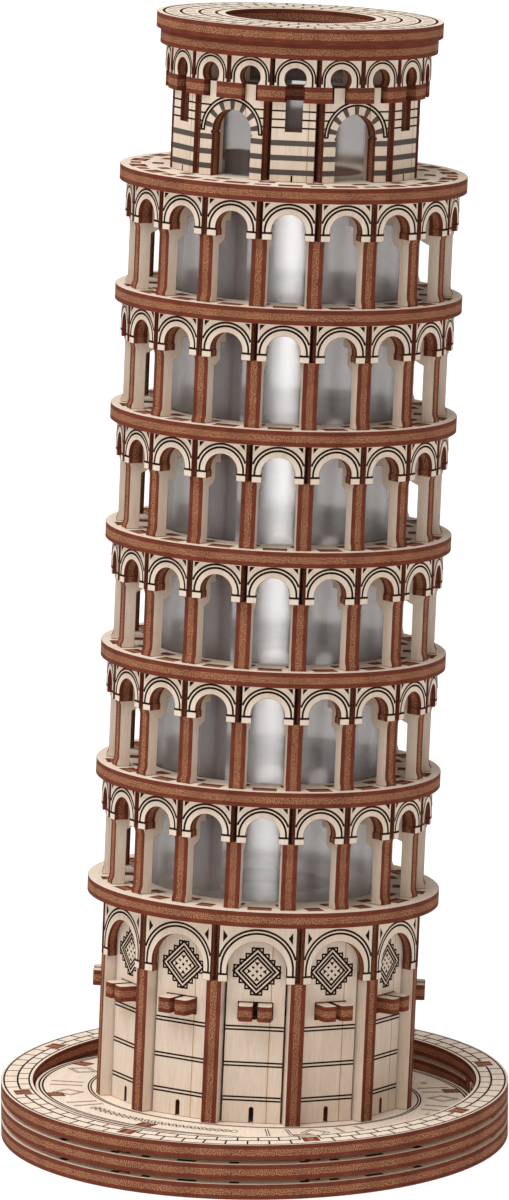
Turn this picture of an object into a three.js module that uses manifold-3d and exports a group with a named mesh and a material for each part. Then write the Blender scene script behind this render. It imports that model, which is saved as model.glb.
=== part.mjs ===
// Leaning bell tower: a tabletop kit model of laser-cut 4 mm plywood with a frosted light tube inside.
// Millimetres, +Z up. The origin is the centre of the base's underside; the front bay faces -Y.
import * as THREE from 'three';
import { mergeVertices } from 'three/addons/utils/BufferGeometryUtils.js';
import Module from 'manifold-3d';

const wasm = await Module();
wasm.setup();

// ---- driving dimensions -------------------------------------------------------------------------
const SHEET = 4;            // plywood thickness
const GAP = 0.3;            // clearance between neighbouring pieces
const JOIN = 0.2;           // how far glued pieces of one node run into each other

const LEAN = 4;             // degrees from upright
const LEAN_TOWARDS = 54.6;  // degrees from +X towards +Y
const PLAZA_HEIGHT = 10.46; // centre of the plaza's top face above the ground

const BASE_RADIUS = 66.6;
const BASE_BORE = 58.2;     // inner radius of the three base rings
const BASE_PITCH = 5.23;    // one base ring to the next, an air gap between them
const BASE_RIBS = 8;
const BASE_RIB_START = 15;  // degrees from the front bay
const BASE_RIB_INNER = 48.5;
const RING_TENON = 62.2;    // radius of the tenons that pin the base rings
const PLAZA_TENON = 53.5;   // radius of the tenons that carry the plaza
const PLAZA_RADIUS = 57.6;

const CORNICE_RADIUS = 45;
const FIRST_CORNICE_RADIUS = 46;
const FIRST_CORNICE_TOP = 56.8;   // above the plaza, along the tower's axis
const STOREY = 31.18;             // one gallery floor to the next
const GALLERIES = 6;
const GALLERY_BAYS = 18;
const GROUND_BAYS = 12;

const TUBE_RADIUS = 31;
const TUBE_WALL = 1;
const TUBE_BORE_CLEARANCE = 0.5;
const LIGHT_HOLE = 17.5;          // hole in the two floors that close the light tube

const BELFRY_TUBE_RADIUS = 25.3;
const BELFRY_RIB_OFFSET = 11.4;   // degrees from a slit wall's centre to its ribs
const BELFRY_SIDES = 6;
const BATTLEMENT_RADIUS = 34.1;
const BATTLEMENT_BOTTOM = 20.5;   // above the belfry floor
const ROOF_BOTTOM = 31.7;
const LOWER_ROOF_RADIUS = 35.9;
const UPPER_ROOF_RADIUS = 37.05;
const ROOF_HOLE = 19.4;

const POST_SIZE = 4.8;
const POST_RADIUS = 21.2;
const POST_ANGLE = -42;
const POST_ABOVE_BELFRY_FLOOR = 6;

const ROUND = 18;                 // curve segments of a ring: twice as many sides
const WIDE_ROUND = 24;            // for the base
const ARC = 4;                    // sides of an arch head
const SMALL_ARC = 3;              // the same, on the belfry's small arches

const rad = THREE.MathUtils.degToRad;
const FRONT = -Math.PI / 2;

// ---- materials ----------------------------------------------------------------------------------
const finish = (color, roughness, more = {}) =>
  new THREE.MeshStandardMaterial({ color, roughness, metalness: 0, ...more });
const veneer = () => finish(0xe6d8c3, 0.6);
const cutEdge = () => finish(0x8a4630, 0.75);
const frosted = () => finish(0xe4e6e8, 0.5, { transparent: true, opacity: 0.7 });

// ---- solids -------------------------------------------------------------------------------------
function toSolid(geometry) {
  const bare = geometry.clone();
  bare.deleteAttribute('normal');
  bare.deleteAttribute('uv');
  const merged = mergeVertices(bare, 1e-3);
  return new wasm.Manifold(new wasm.Mesh({
    numProp: 3,
    vertProperties: new Float32Array(merged.attributes.position.array),
    triVerts: new Uint32Array(merged.index.array),
  }));
}

function toGeometry(solid) {
  const mesh = solid.getMesh();
  const geometry = new THREE.BufferGeometry();
  geometry.setAttribute('position', new THREE.BufferAttribute(mesh.vertProperties.slice(), 3));
  geometry.setIndex(new THREE.BufferAttribute(mesh.triVerts.slice(), 1));
  geometry.computeVertexNormals();
  return geometry;
}

function joinAll(geometries) {
  let whole = toSolid(geometries[0]);
  for (const piece of geometries.slice(1)) whole = whole.add(toSolid(piece));
  return toGeometry(whole);
}

function extrude(shape, depth, curveSegments = ROUND) {
  return new THREE.ExtrudeGeometry(shape, { depth, bevelEnabled: false, curveSegments, steps: 1 });
}

function outline(points) {
  return new THREE.Shape(points.map(([x, y]) => new THREE.Vector2(x, y)));
}

function rectangle(left, bottom, right, top) {
  return outline([[left, bottom], [right, bottom], [right, top], [left, top]]);
}

// A wall plate facing outwards: the outline's x runs along the wall, its y runs up.
function wallPlate(shape, frontDistance, angle, thickness = SHEET) {
  const plate = extrude(shape, thickness);
  plate.rotateX(Math.PI / 2);
  plate.translate(0, -(frontDistance - thickness), 0);
  return plate.rotateZ(rad(angle));
}

// A radial plate: the outline's x is the distance from the axis, its y runs up.
function radialPlate(shape, angle, thickness = SHEET) {
  const plate = extrude(shape, thickness);
  plate.translate(0, 0, -thickness / 2);
  plate.rotateX(Math.PI / 2);
  return plate.rotateZ(rad(angle) + FRONT);
}

function circlePath(radius) {
  const path = new THREE.Path();
  path.absarc(0, 0, radius, 0, 2 * Math.PI, true);
  return path;
}

function ringShape(outer, inner) {
  const shape = new THREE.Shape();
  shape.absarc(0, 0, outer, 0, 2 * Math.PI, false);
  shape.holes.push(circlePath(inner));
  return shape;
}

// A rectangular hole through a horizontal plate, long side along the wall, centred on a bay.
function mortise(radius, angle, width, depth) {
  const centre = new THREE.Vector2(0, 0);
  const corners = [[-width / 2, -radius - depth / 2], [-width / 2, -radius + depth / 2],
    [width / 2, -radius + depth / 2], [width / 2, -radius - depth / 2]];
  return new THREE.Path(corners.map(([x, y]) => new THREE.Vector2(x, y).rotateAround(centre, rad(angle))));
}

const bayAngles = (bays, start = 0) => Array.from({ length: bays }, (_, bay) => start + bay * 360 / bays);

// ---- arches -------------------------------------------------------------------------------------
// The round head of an opening, from its left springing point to its right one.
function archHead(radius, springing, sides = ARC) {
  return Array.from({ length: sides + 1 }, (_, i) => {
    const turn = Math.PI * i / sides;
    return [-radius * Math.cos(turn), springing + radius * Math.sin(turn)];
  });
}

// An arch plate: a capital foot at each side and a round-headed opening between them.
function archPlate({ halfWidth, bottom, top, openingRadius, springing, sides = ARC }) {
  return outline([[-halfWidth, bottom], [-openingRadius, bottom],
    ...archHead(openingRadius, springing, sides),
    [openingRadius, bottom], [halfWidth, bottom], [halfWidth, top], [-halfWidth, top]]);
}

// Arch plates all round, each pair resting on the shoulders of a radial rib between them.
function arcade(bays, plate, plateDistance, ribShape, plateThickness = SHEET) {
  const halfBay = 180 / bays;
  const plates = bayAngles(bays).map((angle) => wallPlate(plate, plateDistance, angle, plateThickness));
  const ribs = bayAngles(bays, halfBay).map((angle) => radialPlate(ribShape, angle));
  return joinAll([...ribs, ...plates]);
}

// ---- base ---------------------------------------------------------------------------------------
const baseRibAngles = bayAngles(BASE_RIBS, BASE_RIB_START);
const tenonHole = SHEET + 2 * GAP;

function baseRing(level) {
  const isTop = level === 2;
  const inner = isTop ? RING_TENON - tenonHole / 2 : BASE_BORE - 1;
  const outer = RING_TENON + tenonHole / 2;
  let ring = toSolid(extrude(ringShape(BASE_RADIUS, BASE_BORE), SHEET, WIDE_ROUND));
  for (const angle of baseRibAngles) {
    const slot = radialPlate(rectangle(inner, -1, outer, SHEET + 1), angle, tenonHole);
    ring = ring.subtract(toSolid(slot));
  }
  return toGeometry(ring).translate(0, 0, level * BASE_PITCH);
}

// Height of the plaza's top face above the ground, over a point of the base.
function plazaTopAt(radius, angle) {
  const uphill = Math.cos(rad(angle - 90 - LEAN_TOWARDS));
  return PLAZA_HEIGHT - Math.tan(rad(LEAN)) * radius * uphill;
}

// A radial rib: it spaces the three rings, pins them with a tenon, and carries the plaza.
function baseRib(angle) {
  const under = (r) => plazaTopAt(r, angle) - SHEET / Math.cos(rad(LEAN)) - GAP;
  const half = SHEET / 2;
  const step = BASE_BORE - GAP;
  const ringUnderside = 2 * BASE_PITCH - GAP;
  const ringTop = 2 * BASE_PITCH + SHEET;
  const shape = outline([
    [BASE_RIB_INNER, 0], [RING_TENON + half, 0], [RING_TENON + half, ringTop],
    [RING_TENON - half, ringTop], [RING_TENON - half, ringUnderside], [step, ringUnderside],
    [step, under(step)], [PLAZA_TENON + half, under(PLAZA_TENON + half)],
    [PLAZA_TENON + half, plazaTopAt(PLAZA_TENON + half, angle)],
    [PLAZA_TENON - half, plazaTopAt(PLAZA_TENON - half, angle)],
    [PLAZA_TENON - half, under(PLAZA_TENON - half)], [BASE_RIB_INNER, under(BASE_RIB_INNER)],
  ]);
  return radialPlate(shape, angle);
}

// The tilted plaza, in the tower's own frame: its top face is at height 0.
function plazaDisc() {
  const disc = new THREE.Shape();
  disc.absarc(0, 0, PLAZA_RADIUS, 0, 2 * Math.PI, false);
  const holeSize = tenonHole + GAP;
  for (const angle of baseRibAngles) disc.holes.push(mortise(PLAZA_TENON, angle, holeSize, holeSize));
  return extrude(disc, SHEET, WIDE_ROUND).translate(0, 0, -SHEET);
}

// ---- ground storey ------------------------------------------------------------------------------
const GROUND_HEIGHT = FIRST_CORNICE_TOP - SHEET;
const ground = {
  ribOuter: 42.2, ribInner: 37.9, ribRecess: 39.2, archFront: 41.3, archHalfWidth: 9.9, archOpening: 7.85,
  archThickness: 2.6, springing: 40.4, capitalBottom: 37.4, panelFront: 38.4, panelHalfWidth: 7.6,
  bracketBottom: 27.6, bracketReach: 43.5, fingerWidth: 3.8, fingerSpacing: 5, slotWidth: 1.2, slotTop: 4.2,
};

function groundArcade() {
  const top = GROUND_HEIGHT - GAP;
  const plate = archPlate({
    halfWidth: ground.archHalfWidth, bottom: ground.capitalBottom, top,
    openingRadius: ground.archOpening, springing: ground.springing,
  });
  const rib = outline([
    [ground.ribInner, GAP], [ground.ribOuter, GAP], [ground.ribOuter, ground.capitalBottom + JOIN],
    [ground.ribRecess, ground.capitalBottom + JOIN], [ground.ribRecess, top], [ground.ribInner, top],
  ]);
  return arcade(GROUND_BAYS, plate, ground.archFront, rib, ground.archThickness);
}

function groundPanel(angle) {
  const { panelHalfWidth: half, slotWidth, slotTop, bracketBottom } = ground;
  const reach = (ground.fingerSpacing + ground.fingerWidth) / 2 + GAP;
  const shape = outline([
    [-half, GAP], [-slotWidth / 2, GAP], [-slotWidth / 2, slotTop], [slotWidth / 2, slotTop],
    [slotWidth / 2, GAP], [half, GAP], [half, GROUND_HEIGHT - GAP], [-half, GROUND_HEIGHT - GAP],
  ]);
  shape.holes.push(rectangle(-reach, bracketBottom - GAP, reach, bracketBottom + SHEET + GAP));
  return wallPlate(shape, ground.panelFront, angle);
}

// One ring inside the wall with a pair of fingers out through every panel.
function bracketRing() {
  const outer = ground.panelFront - SHEET - 0.5;
  const inner = outer - 6;
  const fingers = bayAngles(GROUND_BAYS).flatMap((angle) => [-1, 1].map((side) => {
    const middle = side * ground.fingerSpacing / 2;
    const finger = rectangle(middle - ground.fingerWidth / 2, -ground.bracketReach,
      middle + ground.fingerWidth / 2, -(inner + 3));
    return extrude(finger, SHEET).rotateZ(rad(angle));
  }));
  return joinAll([extrude(ringShape(outer, inner), SHEET), ...fingers]).translate(0, 0, ground.bracketBottom);
}

// ---- galleries ----------------------------------------------------------------------------------
const gallery = {
  ribOuter: 41.8, ribInner: 38.8, ribRecess: 38.7, lobeInner: 36, lobeFoot: 14.2, lobeHeel: 17.2,
  bracketInner: 33.5, bracketBottom: 20.4, archFront: 42.67, archHalfWidth: 6.65, archOpening: 4.4, springing: 19.6,
  capitalBottom: 17.3, clear: STOREY - SHEET,
};

function galleryArcade() {
  const top = gallery.clear - GAP;
  const plate = archPlate({
    halfWidth: gallery.archHalfWidth, bottom: gallery.capitalBottom, top,
    openingRadius: gallery.archOpening, springing: gallery.springing,
  });
  const rib = outline([
    [gallery.ribInner, GAP], [gallery.ribOuter, GAP], [gallery.ribOuter, gallery.capitalBottom + JOIN],
    [gallery.ribRecess, gallery.capitalBottom + JOIN], [gallery.ribRecess, top],
    [gallery.bracketInner, top], [gallery.bracketInner, gallery.bracketBottom],
    [gallery.lobeInner, gallery.bracketBottom], [gallery.lobeInner, gallery.lobeHeel],
    [gallery.ribInner, gallery.lobeFoot],
  ]);
  return arcade(GALLERY_BAYS, plate, gallery.archFront, rib);
}

// Floor 0 lies on the ground storey, floor 6 carries the belfry.
function corniceRing(floor) {
  const closesTube = floor === 0 || floor === GALLERIES;
  const shape = ringShape(floor === 0 ? FIRST_CORNICE_RADIUS : CORNICE_RADIUS,
    closesTube ? LIGHT_HOLE : TUBE_RADIUS + TUBE_BORE_CLEARANCE);
  if (closesTube) shape.holes.push(mortise(POST_RADIUS, POST_ANGLE, POST_SIZE + 2 * GAP, POST_SIZE + 2 * GAP));
  return extrude(shape, SHEET).translate(0, 0, FIRST_CORNICE_TOP - SHEET + floor * STOREY);
}

// ---- inside -------------------------------------------------------------------------------------
const BELFRY_FLOOR = FIRST_CORNICE_TOP + GALLERIES * STOREY;

function tube(radius, bottom, top) {
  return extrude(ringShape(radius, radius - TUBE_WALL), top - bottom).translate(0, 0, bottom);
}

function corePost() {
  const half = POST_SIZE / 2;
  const section = rectangle(-half, -POST_RADIUS - half, half, -POST_RADIUS + half);
  const bottom = FIRST_CORNICE_TOP - SHEET;
  const length = BELFRY_FLOOR + POST_ABOVE_BELFRY_FLOOR - bottom;
  return extrude(section, length).translate(0, 0, bottom).rotateZ(rad(POST_ANGLE));
}

// ---- belfry -------------------------------------------------------------------------------------
const belfry = {
  ribOuter: 28.4, ribInner: 25.9, doorWallFront: 31.8, slitWallFront: 32.8, doorWallHalfWidth: 9.3,
  slitWallHalfWidth: 5.6, slitHalfWidth: 2.15, slitBottom: 12.9, doorRadius: 5.7, doorSpringing: 11.7,
  tabOffset: 5.25, tabHalfWidth: 1.6, notchWidth: 4.4, slitNotchWidth: 5, notchInner: 27.5,
  archFront: 33.9, archHalfWidth: 5.3, archThickness: 3.2, archOpening: 2.75, archSpringing: 26.4,
  postInner: 27.2, postOuter: 31.1, filmTop: 24.5,
};

function slitWall(angle) {
  const { slitWallHalfWidth: half, slitHalfWidth: slit, slitBottom } = belfry;
  const top = BATTLEMENT_BOTTOM - GAP;
  const shape = outline([[-half, GAP], [half, GAP], [half, top], [slit, top], [slit, slitBottom],
    [-slit, slitBottom], [-slit, top], [-half, top]]);
  return wallPlate(shape, belfry.slitWallFront, angle).translate(0, 0, BELFRY_FLOOR);
}

// A wall with a round-headed doorway and two tabs up into the battlement's notches.
function doorWall(angle) {
  const { doorWallHalfWidth: half, doorRadius, doorSpringing, tabOffset, tabHalfWidth } = belfry;
  const top = BATTLEMENT_BOTTOM - GAP;
  const tabTop = BATTLEMENT_BOTTOM + SHEET;
  const tab = (centre) => [[centre + tabHalfWidth, top], [centre + tabHalfWidth, tabTop],
    [centre - tabHalfWidth, tabTop], [centre - tabHalfWidth, top]];
  const shape = outline([[-half, GAP], [-doorRadius, GAP], ...archHead(doorRadius, doorSpringing),
    [doorRadius, GAP], [half, GAP], [half, top], ...tab(tabOffset), ...tab(-tabOffset), [-half, top]]);
  return wallPlate(shape, belfry.doorWallFront, angle).translate(0, 0, BELFRY_FLOOR);
}

// The notched battlement ring with the twelve ribs that stand under it.
function battlement() {
  const ribShape = rectangle(belfry.ribInner, GAP, belfry.ribOuter, BATTLEMENT_BOTTOM + JOIN);
  const ribs = bayAngles(BELFRY_SIDES).flatMap((angle) =>
    [-BELFRY_RIB_OFFSET, BELFRY_RIB_OFFSET].map((side) => radialPlate(ribShape, angle + side)));
  const ring = extrude(ringShape(BATTLEMENT_RADIUS, belfry.ribInner), SHEET).translate(0, 0, BATTLEMENT_BOTTOM);
  let whole = toSolid(joinAll([ring, ...ribs]));
  for (const angle of bayAngles(GALLERY_BAYS)) {
    const isOverSlit = angle % (360 / BELFRY_SIDES) === 0;
    const half = (isOverSlit ? belfry.slitNotchWidth : belfry.notchWidth) / 2;
    const cut = extrude(rectangle(-half, -BATTLEMENT_RADIUS - 1, half, -belfry.notchInner), SHEET + 2);
    whole = whole.subtract(toSolid(cut.translate(0, 0, BATTLEMENT_BOTTOM - 1).rotateZ(rad(angle))));
  }
  return toGeometry(whole).translate(0, 0, BELFRY_FLOOR);
}

function miniArcade() {
  const bottom = BATTLEMENT_BOTTOM + SHEET + GAP;
  const top = ROOF_BOTTOM - GAP;
  const plate = archPlate({
    halfWidth: belfry.archHalfWidth, bottom, top,
    openingRadius: belfry.archOpening, springing: belfry.archSpringing, sides: SMALL_ARC,
  });
  const post = rectangle(belfry.postInner, bottom, belfry.postOuter, top);
  return arcade(GALLERY_BAYS, plate, belfry.archFront, post, belfry.archThickness)
    .translate(0, 0, BELFRY_FLOOR);
}

function roofRing(radius, bottom) {
  return extrude(ringShape(radius, ROOF_HOLE), SHEET).translate(0, 0, BELFRY_FLOOR + bottom);
}

// ---- assembly -----------------------------------------------------------------------------------
const model = new THREE.Group();
const tower = new THREE.Group();
const leanAxis = new THREE.Vector3(-Math.sin(rad(LEAN_TOWARDS)), Math.cos(rad(LEAN_TOWARDS)), 0);
tower.quaternion.setFromAxisAngle(leanAxis, rad(LEAN));
tower.position.z = PLAZA_HEIGHT;
model.add(tower);

function place(group, name, geometry, material) {
  const mesh = new THREE.Mesh(geometry, material);
  mesh.name = name;
  group.add(mesh);
}

const two = (number) => String(number).padStart(2, '0');

['base_bottom_ring', 'base_middle_ring', 'base_top_ring'].forEach((name, level) =>
  place(model, name, baseRing(level), veneer()));
baseRibAngles.forEach((angle, i) => place(model, `base_rib_${i + 1}`, baseRib(angle), cutEdge()));
place(tower, 'plaza_disc', plazaDisc(), veneer());

place(tower, 'ground_arcade', groundArcade(), veneer());
bayAngles(GROUND_BAYS).forEach((angle, i) =>
  place(tower, `ground_wall_panel_${two(i + 1)}`, groundPanel(angle), veneer()));
place(tower, 'bracket_ring', bracketRing(), cutEdge());

for (let floor = 0; floor <= GALLERIES; floor += 1) {
  place(tower, `cornice_ring_${floor + 1}`, corniceRing(floor), veneer());
}
const arcadeGeometry = galleryArcade();
for (let floor = 0; floor < GALLERIES; floor += 1) {
  const lift = FIRST_CORNICE_TOP + floor * STOREY;
  place(tower, `gallery_arcade_${floor + 1}`, arcadeGeometry.clone().translate(0, 0, lift), veneer());
}

place(tower, 'light_tube', tube(TUBE_RADIUS, FIRST_CORNICE_TOP + GAP, BELFRY_FLOOR - SHEET - GAP), frosted());
place(tower, 'core_post', corePost(), cutEdge());

bayAngles(BELFRY_SIDES).forEach((angle, i) => {
  place(tower, `belfry_slit_wall_${i + 1}`, slitWall(angle), veneer());
  place(tower, `belfry_door_wall_${i + 1}`, doorWall(angle + 180 / BELFRY_SIDES), veneer());
});
place(tower, 'belfry_tube', tube(BELFRY_TUBE_RADIUS, BELFRY_FLOOR + GAP, BELFRY_FLOOR + belfry.filmTop), frosted());
place(tower, 'battlement_ring', battlement(), cutEdge());
place(tower, 'belfry_arcade', miniArcade(), veneer());
place(tower, 'roof_lower_ring', roofRing(LOWER_ROOF_RADIUS, ROOF_BOTTOM), cutEdge());
place(tower, 'roof_upper_ring', roofRing(UPPER_ROOF_RADIUS, ROOF_BOTTOM + SHEET + GAP), veneer());

export default model;
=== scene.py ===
import math
from collections import namedtuple

import bpy
import numpy as np
from mathutils import Matrix, Vector
from mathutils.geometry import tessellate_polygon


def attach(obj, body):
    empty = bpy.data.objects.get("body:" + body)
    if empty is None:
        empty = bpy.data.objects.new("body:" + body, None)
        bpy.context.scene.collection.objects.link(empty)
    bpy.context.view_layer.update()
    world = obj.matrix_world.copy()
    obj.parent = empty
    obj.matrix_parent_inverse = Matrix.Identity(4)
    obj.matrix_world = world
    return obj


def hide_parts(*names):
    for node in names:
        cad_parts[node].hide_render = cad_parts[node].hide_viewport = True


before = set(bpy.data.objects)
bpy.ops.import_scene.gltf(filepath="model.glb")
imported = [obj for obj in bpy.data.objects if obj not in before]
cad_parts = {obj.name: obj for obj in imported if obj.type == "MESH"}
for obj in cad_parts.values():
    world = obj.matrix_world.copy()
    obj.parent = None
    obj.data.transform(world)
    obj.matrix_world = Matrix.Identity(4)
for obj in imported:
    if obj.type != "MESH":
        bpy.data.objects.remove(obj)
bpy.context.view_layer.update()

# ---- base: three stacked rings -------------------------------------------------------------------
# Three flat rings, laser-cut from 4 mm three-ply with pale veneer faces, lie one over the other with
# an air gap between them. The top one is engraved with two rows of bricks, and eight square holes in
# it take the tenons of the ribs underneath. Sizes stay in millimetres until a piece is made.
SHEET = 4.0        # plywood thickness
EASE = 0.07        # how far a sanded arris runs back from the corner
BOLD, LINE, FINE, THIN, HAIR = 0.54, 0.5, 0.44, 0.42, 0.26     # widths of engraved lines
VENEER, CUT_EDGE, ENGRAVED, HATCHED, VEINED = range(5)
Shape = namedtuple("Shape", "points corners sizes finishes uvs")
chance = np.random.default_rng(31)


def turned(x, y, angle):
    """A point of a plan turned about the axis, with angle 0 towards the front bay."""
    a = math.radians(angle)
    return x * math.cos(a) - y * math.sin(a), x * math.sin(a) + y * math.cos(a)


def circle(radius, sides, x=0.0, y=0.0):
    turn = np.linspace(0, 2 * math.pi, sides, endpoint=False)
    return [(x + radius * math.cos(t), y + radius * math.sin(t)) for t in turn]


def arc(radius, start, end, sides, x=0.0, y=0.0):
    """Points from one angle to another, in degrees from the x axis."""
    turn = np.radians(np.linspace(start, end, sides + 1))
    return [(x + radius * math.cos(t), y + radius * math.sin(t)) for t in turn]


def box_at(radius, angle, width, depth):
    """A rectangle in a plan, its width along the wall."""
    corners = [(-width / 2, -radius - depth / 2), (width / 2, -radius - depth / 2),
               (width / 2, -radius + depth / 2), (-width / 2, -radius + depth / 2)]
    return [turned(x, y, angle) for x, y in corners]


def mitres(path, closed):
    """Per point, the step to the left that keeps an offset line parallel."""
    ahead = np.roll(path, -1, 0) - path
    if not closed:
        ahead[-1] = ahead[-2]
    ahead /= np.linalg.norm(ahead, axis=1)[:, None]
    left = np.column_stack([-ahead[:, 1], ahead[:, 0]])
    before = np.roll(left, 1, 0)
    if not closed:
        before[0] = left[0]
    return (left + before) / np.maximum(1 + (left * before).sum(1), 0.3)[:, None]


def wound(loop, anticlockwise):
    loop = np.array(loop, float)
    x, y = loop.T
    area = (x * np.roll(y, -1) - np.roll(x, -1) * y).sum()
    return loop if (area > 0) == anticlockwise else loop[::-1]


def cut_sheet(outline, holes=(), thickness=SHEET, ease=EASE, face=VENEER, edge=CUT_EDGE):
    """A closed flat piece: the outline's x and y, with its faces at 0 and at the thickness."""
    loops = [wound(outline, True)] + [wound(hole, False) for hole in holes]
    plan = np.concatenate(loops)
    inset = np.concatenate([loop + ease * mitres(loop, True) for loop in loops])
    n = len(plan)
    levels = [(0, inset), (ease, plan), (thickness - ease, plan), (thickness, inset)]
    if not ease:
        levels = [(0, plan), (thickness, plan)]
    points = np.concatenate([np.column_stack([xy, np.full(n, z)]) for z, xy in levels])
    corners, sizes, finishes, uvs = [], [], [], []
    last = (len(levels) - 1) * n
    for a, b, c in tessellate_polygon([[Vector((x, y, 0)) for x, y in loop] for loop in loops]):
        (ax, ay), (bx, by), (cx, cy) = plan[a], plan[b], plan[c]
        if (bx - ax) * (cy - ay) < (by - ay) * (cx - ax):
            b, c = c, b
        corners += [last + a, last + b, last + c, c, b, a]
        uvs += [plan[i] / 10 for i in (a, b, c, c, b, a)]
        sizes += [3, 3]
        finishes += [face, face]
    start = 0
    for loop in loops:
        m = len(loop)
        run = np.concatenate([[0], np.cumsum(np.linalg.norm(np.roll(loop, -1, 0) - loop, axis=1))])
        for i in range(m):
            p, q = start + i, start + (i + 1) % m
            for low in range(len(levels) - 1):
                corners += [low * n + p, low * n + q, (low + 1) * n + q, (low + 1) * n + p]
                sizes.append(4)
                finishes.append(edge)
                v0, v1 = levels[low][0] / thickness, levels[low + 1][0] / thickness
                u0, u1 = run[i] / 10, run[i + 1] / 10
                uvs += [(u0, v0), (u1, v0), (u1, v1), (u0, v1)]
        start += m
    return Shape(points, np.array(corners), np.array(sizes), np.array(finishes), np.array(uvs))


def engraved_line(path, width=LINE, closed=False, on=SHEET, finish=ENGRAVED):
    """A thin closed strip along a path on the face at height `on`."""
    path = np.array(path, float)
    side = mitres(path, closed) * width / 2
    low, high = on - 0.02, on + 0.03
    rails = [(path - side, low), (path + side, low), (path + side, high), (path - side, high)]
    points = np.stack([np.column_stack([xy, np.full(len(path), z)]) for xy, z in rails], 1)
    corners, sizes = [], []
    count = len(path)
    for i in range(count if closed else count - 1):
        j = (i + 1) % count
        for k in range(4):
            corners += [4 * i + k, 4 * i + (k + 1) % 4, 4 * j + (k + 1) % 4, 4 * j + k]
            sizes.append(4)
    if not closed:
        corners += [3, 2, 1, 0] + [4 * (count - 1) + k for k in range(4)]
        sizes += [4, 4]
    points = points.reshape(-1, 3)
    corners = np.array(corners)
    return Shape(points, corners, np.array(sizes), np.full(len(sizes), finish), points[corners, :2] / 10)


def engraved_patch(outline, on=SHEET, finish=ENGRAVED):
    patch = cut_sheet(outline, thickness=0.05, ease=0, face=finish, edge=finish)
    return patch._replace(points=patch.points + (0, 0, on - 0.02))


def together(shapes):
    starts = np.cumsum([0] + [len(s.points) for s in shapes])
    return Shape(np.concatenate([s.points for s in shapes]),
                 np.concatenate([s.corners + n for s, n in zip(shapes, starts)]),
                 *(np.concatenate([getattr(s, part) for s in shapes]) for part in Shape._fields[2:]))


def placed(shape, matrix, vary=True, across=40):
    """The shape moved by a matrix. Its grain slides by a random step, so that no two look alike."""
    points = shape.points @ np.array(matrix.to_3x3()).T + np.array(matrix.translation)
    uvs = shape.uvs.copy()
    if vary:
        on_face = np.repeat(shape.finishes != CUT_EDGE, shape.sizes)
        uvs[:, 0] += chance.uniform(0, across) if across else 0
        uvs[on_face, 1] += chance.uniform(0, 40)
    return shape._replace(points=points, uvs=uvs)


def lying(height, angle=0.0):
    """Where a sheet lies flat, its veneer up."""
    return Matrix.Translation((0, 0, height)) @ Matrix.Rotation(math.radians(angle), 4, "Z")


def radial(angle, height=0.0, thickness=SHEET):
    """Where a sheet stands on edge: its x runs out from the axis, its y runs up."""
    axes = Matrix(((0, 0, -1, thickness / 2), (-1, 0, 0, 0), (0, 1, 0, height), (0, 0, 0, 1)))
    return Matrix.Rotation(math.radians(angle), 4, "Z") @ axes


def material(name, shade):
    """A material with a Principled BSDF, and shade(nodes, wire, skin) to fill in the rest."""
    m = bpy.data.materials.new(name)
    m.use_nodes = True
    tree = m.node_tree
    skin = tree.nodes.get("Principled BSDF")
    shade(tree.nodes, lambda a, b: tree.links.new(a, b), skin)
    return m


def node(nodes, kind, operation=None, **values):
    """A node with the values of some of its inputs, by name or as in_0, in_1."""
    made = nodes.new(kind)
    if operation:
        made.operation = operation
    for key, value in values.items():
        socket = made.inputs[int(key[3:])] if key.startswith("in_") else made.inputs[key.replace("_", " ")]
        socket.default_value = value
    return made


def blend_colour(nodes, wire, amount, first, second):
    """Mixes two colours, each a plain colour or a socket, by a socket."""
    mix = nodes.new("ShaderNodeMix")
    mix.data_type = "RGBA"
    wire(amount, mix.inputs["Factor"])
    for socket, value in ((mix.inputs[6], first), (mix.inputs[7], second)):
        if isinstance(value, tuple):
            socket.default_value = (*value, 1)
        else:
            wire(value, socket)
    return mix.outputs[2]


def ramp(nodes, wire, value, low, high):
    """0 at low and 1 at high, smooth between, whichever of the two is larger."""
    step = node(nodes, "ShaderNodeMapRange", From_Min=low, From_Max=high)
    step.interpolation_type = "SMOOTHSTEP"
    wire(value, step.inputs["Value"])
    return step.outputs["Result"]


def new_group(name, takes, gives):
    tree = bpy.data.node_groups.new(name, "ShaderNodeTree")
    for socket, kind in takes:
        tree.interface.new_socket(socket, in_out="INPUT", socket_type=kind)
    for socket, kind in gives:
        tree.interface.new_socket(socket, in_out="OUTPUT", socket_type=kind)
    return tree, tree.nodes.new("NodeGroupInput"), tree.nodes.new("NodeGroupOutput")


def stretched_noise(nodes, wire, place, stretch, scale, detail=3.0, roughness=0.6):
    """Noise over a place that is first multiplied by a vector."""
    scaled = node(nodes, "ShaderNodeVectorMath", "MULTIPLY", in_1=stretch)
    wire(place, scaled.inputs[0])
    noise = node(nodes, "ShaderNodeTexNoise", Scale=scale, Detail=detail, Roughness=roughness)
    wire(scaled.outputs[0], noise.inputs["Vector"])
    return noise.outputs["Fac"]


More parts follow.
